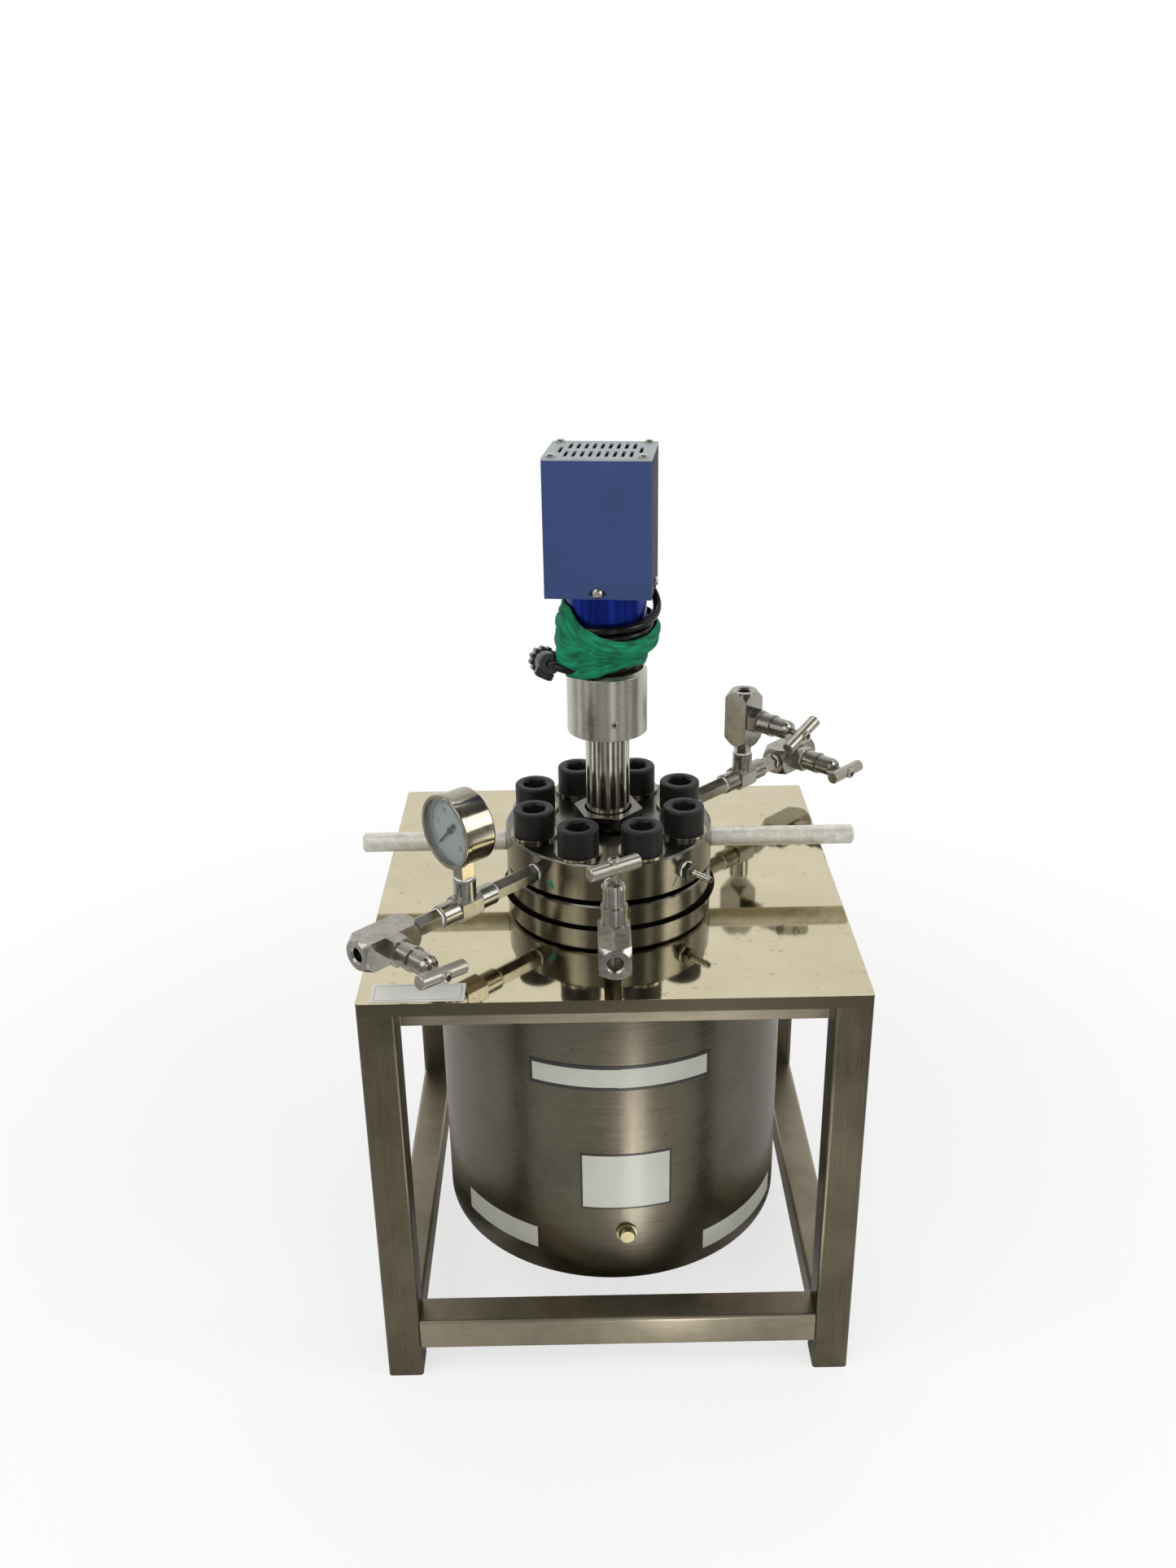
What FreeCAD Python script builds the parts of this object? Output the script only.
import FreeCAD, Part
import math
import os
import sys

import Sketcher

# High pressure chemical reactor with an ultrasonic horn. A bolted stirless vessel hangs in a
# round electric heater, which hangs in a square stand of welded steel tube. The horn comes down
# through the lid, driven by a transducer under a vented box. Needle valves, a pressure gauge and
# a hose barb are screwed into the lid's side ports.
#
# Frame: millimetres, +Z up, origin on the floor under the vessel's axis. The front is -Y.

# Driving sizes. Each is set once here and goes into the sheet as a plain number.
SIZES = {
    # Stand: a folded top sheet on four legs of square tube.
    "stand_width": 400,
    "stand_depth": 400,
    "stand_height": 380,
    "top_sheet": 1.5,
    "top_skirt": 11,
    "top_corner": 3,
    "top_return": 24,
    "tube_side": 30,
    "tube_wall": 2,
    "tube_corner": 3,
    "foot_height": 30,
    "hanger_tall": 9,
    "hanger_deep": 14,
    "hanger_drop": 29,
    "hanger_gap": 2,
    # Heater: a round shell with insulation, a band element and a steel well.
    "shell_radius": 156,
    "shell_sheet": 1.5,
    "shell_lip": 8,
    "shell_bottom": 65,
    "base_sheet": 2,
    "base_rim": 12,
    "slip_gap": 0.2,
    "well_play": 1,
    "well_wall": 2.5,
    "well_floor": 3,
    "well_flange": 4.5,
    "element_wall": 6,
    "element_tall": 140,
    "wool_top_gap": 3,
    "earth_turn": 3.5,
    "earth_height": 115.5,
    "earth_flats": 13,
    "earth_head": 5.5,
    "earth_washer_radius": 9,
    "earth_washer_thick": 1.5,
    "earth_shank": 4,
    "inlet_height": 120,
    "inlet_flange": 32,
    "inlet_flange_thick": 3,
    "inlet_radius": 12,
    "inlet_long": 18,
    # Vessel, gasket and lid.
    "flange_radius": 90,
    "flange_thick": 44,
    "plate_gap": 4,
    "vessel_radius": 56,
    "chamber_radius": 30,
    "chamber_deep": 180,
    "vessel_floor": 28,
    "seat_radius": 48,
    "seat_deep": 3,
    "seat_play": 0.4,
    "gasket_inner": 34,
    "gasket_thick": 2,
    "lid_radius": 90,
    "lid_thick": 34,
    "lid_gap": 4,
    "rim_chamfer": 1.5,
    "bolt_circle": 69.5,
    "bolt_count": 8,
    "bolt_radius": 12,
    "bolt_long": 80,
    "bolt_play": 1,
    "thread_play": 0.1,
    "head_radius": 17.5,
    "head_tall": 22.5,
    "head_round": 2,
    "socket_flats": 19,
    "socket_deep": 12,
    "washer_radius": 20.4,
    "washer_thick": 2.5,
    "handle_radius": 8.5,
    "handle_reach": 216,
    "handle_stud": 6,
    "handle_grip": 20,
    "handle_chamfer": 2,
    # Side ports of the lid and of every fitting, for one size of pipe thread.
    "port_drop": 18,
    "pipe_radius": 5.6,
    "pipe_play": 0.1,
    "pipe_grip": 12,
    "pipe_hole_deep": 14,
    "port_drill": 2,
    "port_down": 27.5,
    "port_mouth": 7.2,
    "tape_gap": 2,
    "nipple_flats": 14.3,
    # Ultrasonic horn and the nut that holds it.
    "horn_tip": 300,
    "tip_radius": 10,
    "tip_long": 30,
    "shank_radius": 16,
    "shank_taper": 35,
    "horn_rest": 28,
    "horn_collar": 8,
    "horn_collar_radius": 22.5,
    "horn_radius": 19,
    "horn_above": 87,
    "horn_flare": 5,
    "horn_rim": 1,
    "horn_passage": 17.5,
    "nut_flats": 53,
    "nut_rise": 2.5,
    "nut_tall": 11,
    "nut_thread": 23.9,
    "nut_bore": 20.5,
    "stud_radius": 8,
    "stud_long": 22,
    # Coupler, transducer and its blue case.
    "coupler_radius": 34,
    "coupler_tall": 56,
    "coupler_floor": 12,
    "coupler_bore": 27,
    "coupler_chamfer": 3,
    "grub_radius": 2.4,
    "grub_deep": 2.5,
    "grub_height": 15,
    "grub_turn": 9,
    "neck_radius": 22,
    "neck_bare": 18,
    "case_radius": 33.4,
    "case_tall": 62,
    "case_wall": 3,
    "case_floor": 5,
    "node_thick": 6,
    "disc_radius": 19,
    "disc_bore": 6,
    "disc_thick": 5.5,
    "disc_count": 4,
    "back_radius": 20,
    "back_tall": 22,
    "back_bolt": 5.5,
    "back_bolt_in": 14,
    "back_bolt_head": 8,
    "back_bolt_tall": 7,
    # Vented box round the transducer.
    "box_width": 86,
    "box_depth": 76,
    "box_tall": 111,
    "box_sheet": 1.2,
    "box_corner": 1.6,
    "box_left": 3,
    "box_turn": 7,
    "box_overlap": 12,
    "lid_sheet": 1.5,
    "base_lift": 2,
    "base_thick": 6,
    "post_radius": 4.5,
    "post_in": 7,
    "vent_count": 9,
    "vent_pitch": 6.45,
    "vent_wide": 2.9,
    "vent_long": 23,
    "vent_row": 16.5,
    "vent_end": 32.2,
    "screw_radius": 4,
    "screw_head": 2.6,
    "screw_shank": 1.9,
    "screw_long": 3.8,
    "screw_slot": 13,
    # Cable wound round the transducer, its plug and the strap over it.
    "cable_radius": 3.5,
    "coil_gap": 0.3,
    "lead_gap": 0.3,
    "coil_tall": 24,
    "neck_coil_tall": 20,
    "neck_coil_wide": 8,
    "strap_thick": 1,
    "strap_low": 14,
    "strap_tall": 33,
    "grommet_radius": 4.2,
    "grommet_rim": 5,
    "grommet_lip": 1.5,
    "grommet_clear": 0.54,
    "plug_radius": 10.5,
    "plug_long": 38,
    "plug_ring": 9,
    "saddle_wide": 15,
    "saddle_tall": 7,
    # Branches: lengths of the hexagon nipples and the tees.
    "left_reach": 48.5,
    "right_reach": 68.5,
    "front_reach": 73,
    "left_link": 27.5,
    "right_link": 20.5,
    "up_link": 10.5,
    "tee_half": 28.5,
    "tee_up": 24,
    "tee_arm": 9.3,
    "tee_core": 20,
    "tee_bore": 3,
    # Needle valves, all alike.
    "bar_side": 25,
    "bar_long": 54,
    "bar_face": 12.2,
    "bar_bevel": 7,
    "bonnet_flats": 22,
    "bonnet_hex": 9.8,
    "bonnet_round": 9.9,
    "bonnet_barrel": 14.5,
    "bonnet_band": 3,
    "bonnet_band_out": 0.5,
    "bonnet_thread": 8,
    "bonnet_grip": 9,
    "bonnet_neck": 6.5,
    "bonnet_neck_tall": 9.5,
    "gland_radius": 8.9,
    "gland_tall": 15.5,
    "gland_dome": 4.5,
    "gland_top": 5.5,
    "gland_deep": 12,
    "seat_hole": 1.8,
    "seat_offset": 4,
    "spindle_radius": 4,
    "spindle_play": 0.05,
    "spindle_tall": 29,
    "needle_radius": 2.9,
    "needle_tip": 2,
    "needle_tall": 16,
    "pin_radius": 3,
    "pin_in": 6.5,
    "pin_play": 0.05,
    "grip_rise": 68,
    "grip_radius": 5.75,
    "grip_long": 44,
    "grip_chamfer": 0.8,
    "grip_flat": 1.6,
    "grip_flat_radius": 4.6,
    "grip_screw_flats": 6,
    "grip_screw": 3,
    # Pressure gauge.
    "gauge_turn": 220,
    "gauge_rise": 46,
    "gauge_radius": 29.8,
    "gauge_back": 12,
    "gauge_front": 17,
    "gauge_wall": 1.2,
    "bezel_radius": 31,
    "bezel_deep": 5,
    "bezel_lip": 2.6,
    "glass_thick": 2,
    "dial_radius": 27.5,
    "dial_thick": 0.8,
    "dial_sunk": 8,
    "arbor_radius": 1,
    "pointer_hub": 3,
    "pointer_thick": 0.8,
    "pointer_long": 20,
    "pointer_tail": 9,
    "pointer_wide": 1.8,
    "pointer_start": 225,
    "gauge_shank": 12.5,
    # Hose barb.
    "barb_hex": 6,
    "barb_radius": 2.5,
    "barb_ridge": 0.8,
    "barb_count": 4,
    "barb_pitch": 4.6,
    "barb_bore": 1.5,
}

doc = FreeCAD.newDocument("Reactor")
sheet = doc.addObject("Spreadsheet::Sheet", "Sizes")
for row, (alias, number) in enumerate(SIZES.items(), start=1):
    sheet.set(f"A{row}", alias.replace("_", " "))
    sheet.set(f"B{row}", str(number))
    sheet.setAlias(f"B{row}", alias)
doc.recompute()


class Size:
    """A length with its number now and the sheet expression that it comes from."""

    def __init__(self, number, text):
        self.number = number
        self.text = text

    def __add__(self, other):
        return Size(self.number + number_of(other), f"({self.text} + {text_of(other)})")

    def __radd__(self, other):
        return Size(number_of(other) + self.number, f"({text_of(other)} + {self.text})")

    def __sub__(self, other):
        return Size(self.number - number_of(other), f"({self.text} - {text_of(other)})")

    def __rsub__(self, other):
        return Size(number_of(other) - self.number, f"({text_of(other)} - {self.text})")

    def __mul__(self, other):
        return Size(self.number * number_of(other), f"({self.text} * {text_of(other)})")

    def __rmul__(self, other):
        return self * other

    def __truediv__(self, other):
        return Size(self.number / number_of(other), f"({self.text} / {text_of(other)})")

    def __neg__(self):
        return Size(-self.number, f"(0 - {self.text})")


def root(size):
    return Size(math.sqrt(size.number), f"sqrt({size.text})")


def number_of(size):
    return size.number if isinstance(size, Size) else size


def text_of(size):
    return size.text if isinstance(size, Size) else f"{size:.9f}"


class Sheet:
    """Gives each alias of the sheet as a Size, such as s.lid_radius."""

    def __getattr__(self, alias):
        return Size(float(sheet.get(alias)), f"Sizes.{alias}")


s = Sheet()

UP = FreeCAD.Vector(0, 0, 1)
NO_TURN = FreeCAD.Rotation()


def facing(z_way, x_way=None):
    """A turn that brings local Z to z_way, and local X as near as it can to x_way."""
    if x_way is None:
        return FreeCAD.Rotation(UP, z_way)
    return FreeCAD.Rotation(x_way, FreeCAD.Vector(), z_way, "ZXY")


def heading(degrees):
    """The level direction at this turn from +X towards +Y."""
    angle = math.radians(degrees)
    return FreeCAD.Vector(math.cos(angle), math.sin(angle), 0)


def place(piece, at=(0, 0, 0), turn=NO_TURN):
    piece.Placement = FreeCAD.Placement(FreeCAD.Vector(*[number_of(a) for a in at]), turn)
    for axis, size in zip("xyz", at):
        piece.setExpression(f".Placement.Base.{axis}", text_of(size))
    return piece


def along(start, way, distance):
    """The point that lies this far from start in direction way."""
    return tuple(a + w * distance for a, w in zip(start, way))


def add(kind, name, **sizes):
    piece = doc.addObject(kind, name)
    for prop, size in sizes.items():
        piece.setExpression(prop, text_of(size))
    return piece


def cylinder(name, radius, tall, at=(0, 0, 0), turn=NO_TURN):
    return place(add("Part::Cylinder", name, Radius=radius, Height=tall), at, turn)


def cone(name, low, high, tall, at=(0, 0, 0), turn=NO_TURN):
    return place(add("Part::Cone", name, Radius1=low, Radius2=high, Height=tall), at, turn)


def block(name, wide, deep, tall, at=(0, 0, 0)):
    """A box centred on X and Y, standing on at."""
    corner = (at[0] - wide / 2, at[1] - deep / 2, at[2])
    return place(add("Part::Box", name, Length=wide, Width=deep, Height=tall), corner)


def hexagon(name, flats, tall, at=(0, 0, 0), turn=NO_TURN):
    prism = add("Part::Prism", name, Circumradius=flats / math.sqrt(3), Height=tall)
    prism.Polygon = 6
    return place(prism, at, turn)


def fuse(name, *pieces):
    whole = doc.addObject("Part::MultiFuse", name)
    whole.Shapes = list(pieces)
    whole.Refine = True
    return whole


def cut(name, base, *tools):
    rest = doc.addObject("Part::Cut", name)
    rest.Base = base
    rest.Tool = tools[0] if len(tools) == 1 else fuse(name + "_tools", *tools)
    rest.Refine = True
    return rest


def common(name, first, second):
    both = doc.addObject("Part::Common", name)
    both.Base = first
    both.Tool = second
    return both


def copies(name, original, spots):
    """One node of separate solids: the original repeated at each (place, turn)."""
    links = []
    for number, (at, turn) in enumerate(spots, start=1):
        link = doc.addObject("App::Link", f"{name}_{number}")
        link.LinkedObject = original
        links.append(place(link, at, turn))
    return group(name, *links)


def group(name, *pieces):
    together = doc.addObject("Part::Compound", name)
    together.Links = list(pieces)
    return together


def outline(sketch, corners):
    """Closes a polygon through corners, each held by its own two distances."""
    first = sketch.GeometryCount
    points = [FreeCAD.Vector(number_of(x), number_of(y), 0) for x, y in corners]
    for start, end in zip(points, points[1:] + points[:1]):
        sketch.addGeometry(Part.LineSegment(start, end))
    count = len(points)
    for side in range(count):
        following = first + (side + 1) % count
        sketch.addConstraint(Sketcher.Constraint("Coincident", first + side, 2, following, 1))
    for side, corner in enumerate(corners):
        for kind, size in zip(("DistanceX", "DistanceY"), corner):
            row = Sketcher.Constraint(kind, -1, 1, first + side, 1, number_of(size))
            held = sketch.addConstraint(row)
            sketch.setExpression(f"Constraints[{held}]", text_of(size))


def circle(sketch, x, y, radius):
    centre = FreeCAD.Vector(number_of(x), number_of(y), 0)
    ring = sketch.addGeometry(Part.Circle(centre, UP, number_of(radius)))
    for kind, size in (("DistanceX", x), ("DistanceY", y)):
        held = sketch.addConstraint(Sketcher.Constraint(kind, -1, 1, ring, 3, number_of(size)))
        sketch.setExpression(f"Constraints[{held}]", text_of(size))
    held = sketch.addConstraint(Sketcher.Constraint("Radius", ring, number_of(radius)))
    sketch.setExpression(f"Constraints[{held}]", text_of(radius))


def new_sketch(body, name, plane_role, lift=0):
    sketch = body.newObject("Sketcher::SketchObject", name)
    plane = [f for f in body.Origin.OriginFeatures if f.Role == plane_role][0]
    sketch.AttachmentSupport = (plane, [""])
    sketch.MapMode = "FlatFace"
    sketch.setExpression(".AttachmentOffset.Base.z", text_of(lift))
    return sketch


def feature(body, kind, name, **sizes):
    step = body.newObject(f"PartDesign::{kind}", name)
    for prop, size in sizes.items():
        step.setExpression(prop, text_of(size))
    body.Tip = step
    return step


def turned(name, corners):
    """A body turned about its own Z from an outline of (radius, height) corners."""
    body = doc.addObject("PartDesign::Body", name)
    sketch = new_sketch(body, name + "_outline", "XZ_Plane")
    outline(sketch, corners)
    spin = feature(body, "Revolution", name + "_spin", Angle=360)
    spin.Profile = sketch
    spin.ReferenceAxis = (sketch, ["V_Axis"])
    return body


def rectangle(wide, deep):
    x, y = wide / 2, deep / 2
    return [(-x, -y), (x, -y), (x, y), (-x, y)]


def padded(name, corners, tall, lift=0):
    """A body raised from a flat outline."""
    body = doc.addObject("PartDesign::Body", name)
    sketch = new_sketch(body, name + "_outline", "XY_Plane", lift)
    outline(sketch, corners)
    feature(body, "Pad", name + "_pad", Length=tall).Profile = sketch
    return body


def pocket(body, name, draw, tall, lift):
    """Cuts downwards from height lift, through the shape that draw puts in the sketch."""
    sketch = new_sketch(body, name + "_outline", "XY_Plane", lift)
    draw(sketch)
    step = feature(body, "Pocket", name, Length=tall)
    step.Profile = sketch
    return step


def around(body, steps, name, count):
    """Repeats steps evenly about the body's Z."""
    axis = [f for f in body.Origin.OriginFeatures if f.Role == "Z_Axis"][0]
    pattern = feature(body, "PolarPattern", name, Occurrences=count, Angle=360)
    pattern.Originals = steps
    pattern.Axis = (axis, [""])
    return pattern


def soften(body, kind, name, picks, size):
    """Fillets or chamfers the edges of the body's tip that picks accepts."""
    doc.recompute()
    tip = body.Tip
    edges = [f"Edge{n}" for n, edge in enumerate(tip.Shape.Edges, start=1) if picks(edge)]
    step = feature(body, kind, name, **{"Radius" if kind == "Fillet" else "Size": size})
    step.Base = (tip, edges)
    return step


def upright(edge):
    """Picks straight edges along Z."""
    ends = [v.Point for v in edge.Vertexes]
    return len(ends) == 2 and abs(ends[0].x - ends[1].x) < 0.001 and abs(ends[0].y - ends[1].y) < 0.001


def ring_at(radius, height):
    """Picks circles of this radius round Z, at this height."""
    def picks(edge):
        curve = edge.Curve
        if not isinstance(curve, Part.Circle):
            return False
        middle = curve.Center
        centred = math.hypot(middle.x, middle.y) < 0.001
        sized = abs(curve.Radius - number_of(radius)) < 0.001
        return centred and sized and abs(middle.z - number_of(height)) < 0.001
    return picks


nodes = {}


def node(name, piece):
    piece.Label = name
    nodes[name] = piece
    return piece


# Heights that several pieces share.
hanger_top = s.stand_height - s.hanger_drop
well_under = hanger_top + s.shell_sheet
flange_under = well_under + s.well_flange
flange_top = flange_under + s.flange_thick
lid_under = flange_top + s.lid_gap
lid_top = lid_under + s.lid_thick
port_height = lid_top - s.port_drop
collar_under = lid_top - s.horn_rest
collar_top = collar_under + s.horn_collar
coupler_under = lid_top + s.horn_above
coupler_top = coupler_under + s.coupler_tall
case_under = coupler_top + s.neck_bare
case_top = case_under + s.case_tall
box_under = case_top - s.box_overlap
box_top = box_under + s.box_tall

# Directions of the lid's side ports, in degrees from +X towards +Y.
RIGHT_PORT = 45
LEFT_PORT = 225
FRONT_PORT = 270
BARB_PORT = 315
PORTS = (RIGHT_PORT, LEFT_PORT, FRONT_PORT, BARB_PORT)
BONNET_WAY = heading(315)

# Which way each valve's T bar points at rest.
BAR_WAYS = {
    "left": FreeCAD.Vector(0.7, 0.7, -0.1),
    "front": FreeCAD.Vector(0.85, 0.53, 0),
    "upper": FreeCAD.Vector(-0.7, -0.7, -0.4),
    "rear": FreeCAD.Vector(0.7, 0.7, 0),
}


def top_plate():
    """The mirror sheet: folded down and back in all round, with a hole that clears the vessel."""
    tall = s.top_skirt
    low = s.stand_height - tall
    body = padded("TopSheet", rectangle(s.stand_width, s.stand_depth), tall, low)
    soften(body, "Fillet", "TopSheetCorners", upright, s.top_corner)
    wall = 2 * s.top_sheet
    inside = rectangle(s.stand_width - wall, s.stand_depth - wall)
    under = s.stand_height - s.top_sheet
    pocket(body, "TopSheetInside", lambda k: outline(k, inside), tall - wall, under)
    lip = 2 * s.top_return
    between = rectangle(s.stand_width - lip, s.stand_depth - lip)
    pocket(body, "TopSheetReturn", lambda k: outline(k, between), tall, under)
    hole = s.flange_radius + s.plate_gap
    pocket(body, "TopSheetHole", lambda k: circle(k, 0, 0, hole), wall, s.stand_height)
    return body


def square_tube(name, long, at, turn=NO_TURN):
    """A length of square tube with rounded corners, along its own Z."""
    body = padded(name, rectangle(s.tube_side, s.tube_side), long)
    soften(body, "Fillet", name + "_corners", upright, s.tube_corner)
    inner = s.tube_side - 2 * s.tube_wall
    pocket(body, name + "_inside", lambda k: outline(k, rectangle(inner, inner)), long, long)
    return place(body, at, turn)


def stand():
    node("top_plate", top_plate())
    post_x = s.stand_width / 2 - s.tube_side / 2
    post_y = s.stand_depth / 2 - s.tube_side / 2
    leg_tall = s.stand_height - s.top_skirt
    for side, x in (("left", -post_x), ("right", post_x)):
        for end, y in (("front", -post_y), ("rear", post_y)):
            node(f"leg_{end}_{side}", square_tube(f"Leg_{end}_{side}", leg_tall, (x, y, 0)))
    rail_height = s.foot_height + s.tube_side / 2
    across = 2 * post_x - s.tube_side
    rearward = 2 * post_y - s.tube_side
    rails = []
    for name, y in (("front", -post_y), ("rear", post_y)):
        start = (-across / 2, y, rail_height)
        rails.append(square_tube(f"Rail_{name}", across, start, facing(FreeCAD.Vector(1, 0, 0))))
    for name, x in (("left", -post_x), ("right", post_x)):
        start = (x, -rearward / 2, rail_height)
        rails.append(square_tube(f"Rail_{name}", rearward, start, facing(FreeCAD.Vector(0, 1, 0))))
    node("lower_rails", group("LowerRails", *rails))
    hangers()


def hangers():
    """Four flat bars round the heater, just under the sheet, carry its lip. They end on the legs."""
    edge_x = s.stand_width / 2 - s.tube_side
    edge_y = s.stand_depth / 2 - s.tube_side
    low = hanger_top - s.hanger_tall
    near = s.shell_radius + s.hanger_gap
    middle = near + s.hanger_deep / 2
    bars = []
    for name, y in (("front", -middle), ("rear", middle)):
        bars.append(block(f"Hanger_{name}", 2 * edge_x, s.hanger_deep, s.hanger_tall, (0, y, low)))
    post_x = edge_x + s.tube_side / 2
    post_y = edge_y + s.tube_side / 2
    for name, way in (("left", -1), ("right", 1)):
        bar = block(f"Hanger_{name}_bar", s.hanger_deep, 2 * near, s.hanger_tall,
                    (way * middle, 0, low))
        posts = [block(f"Hanger_{name}_{end}_post", s.tube_side, s.tube_side, s.hanger_tall,
                       (way * post_x, y, low)) for end, y in (("front", -post_y), ("rear", post_y))]
        bars.append(cut(f"Hanger_{name}", bar, *posts))
    node("hanger_rails", group("HangerRails", *bars))


def heater():
    inner = s.shell_radius - s.shell_sheet
    lip = s.shell_radius + s.shell_lip
    low = s.shell_bottom
    wall = turned("HeaterWall", [(inner, low), (s.shell_radius, low), (s.shell_radius, hanger_top),
                                 (lip, hanger_top), (lip, well_under), (inner, well_under)])
    earth_way = heading(270 + s.earth_turn.number)
    earth_turn = facing(earth_way)
    earth_spot = (0, 0, s.earth_height)
    reach = s.shell_radius - 3 * s.shell_sheet
    earth_start = along(earth_spot, earth_way, reach)
    earth_hole = cylinder("EarthHole", s.earth_shank + s.slip_gap, 6 * s.shell_sheet, earth_start,
                          earth_turn)
    rear = heading(90)
    inlet_start = along((0, 0, s.inlet_height), rear, reach)
    inlet_hole = cylinder("InletHole", s.inlet_radius + s.slip_gap, 6 * s.shell_sheet, inlet_start,
                          facing(rear))
    node("heater_shell", cut("HeaterShell", wall, earth_hole, inlet_hole))

    disc = inner - s.slip_gap
    sheet_in = s.base_sheet
    node("heater_base", turned("HeaterBase", [
        (0, low), (disc, low), (disc, low + s.base_rim), (disc - sheet_in, low + s.base_rim),
        (disc - sheet_in, low + sheet_in), (0, low + sheet_in)]))

    well_inner = s.vessel_radius + s.well_play
    well_outer = well_inner + s.well_wall
    vessel_under = flange_top - s.chamber_deep - s.vessel_floor
    well_bottom = vessel_under - s.well_play
    well_low = well_bottom - s.well_floor
    node("heater_well", turned("HeaterWell", [
        (0, well_low), (well_outer, well_low), (well_outer, well_under), (lip, well_under),
        (lip, flange_under), (well_inner, flange_under), (well_inner, well_bottom), (0, well_bottom)]))

    band_inner = well_outer + s.slip_gap
    band_outer = band_inner + s.element_wall
    node("heating_element", turned("HeatingElement", [
        (band_inner, well_low), (band_outer, well_low),
        (band_outer, well_low + s.element_tall), (band_inner, well_low + s.element_tall)]))

    wool_low = low + s.base_rim
    wool_inner = band_outer + s.slip_gap
    node("heater_insulation", turned("HeaterInsulation", [
        (0, low + sheet_in), (disc - sheet_in - s.slip_gap, low + sheet_in),
        (disc - sheet_in - s.slip_gap, wool_low + s.slip_gap),
        (inner - s.slip_gap, wool_low + s.slip_gap),
        (inner - s.slip_gap, well_under - s.wool_top_gap), (wool_inner, well_under - s.wool_top_gap),
        (wool_inner, well_low), (0, well_low)]))

    washer_at = along(earth_spot, earth_way, s.shell_radius)
    head_at = along(washer_at, earth_way, s.earth_washer_thick)
    shank_long = s.shell_sheet + s.earth_washer_thick
    shank = cylinder("EarthShank", s.earth_shank, shank_long,
                     along(head_at, earth_way, -shank_long), earth_turn)
    head = hexagon("EarthHex", s.earth_flats, s.earth_head, head_at, earth_turn)
    crown = cone("EarthCrown", s.earth_flats * 0.66, s.earth_flats / 2 - 0.4, s.earth_head, head_at,
                 earth_turn)
    ring = cylinder("EarthRing", s.earth_washer_radius, s.earth_washer_thick, washer_at, earth_turn)
    ring_hole = cylinder("EarthRingHole", s.earth_shank + s.slip_gap, s.earth_washer_thick,
                         washer_at, earth_turn)
    bolt = fuse("EarthBolt", shank, common("EarthHead", head, crown))
    node("earth_bolt", group("EarthParts", bolt, cut("EarthWasher", ring, ring_hole)))

    frame = block("InletFlange", s.inlet_flange, s.inlet_flange, s.inlet_flange_thick, (0, 0, 0))
    barrel = cylinder("InletBarrel", s.inlet_radius, s.inlet_long)
    tail = cylinder("InletTail", s.inlet_radius, s.shell_sheet, (0, 0, -s.shell_sheet))
    well = cylinder("InletWell", s.inlet_radius - 2, s.inlet_long - 4, (0, 0, 4))
    inlet = cut("PowerInlet", fuse("InletBody", frame, barrel, tail), well)
    flat_seat = s.shell_radius + 0.2
    node("power_inlet", place(inlet, along((0, 0, s.inlet_height), rear, flat_seat), facing(rear, UP)))


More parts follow.
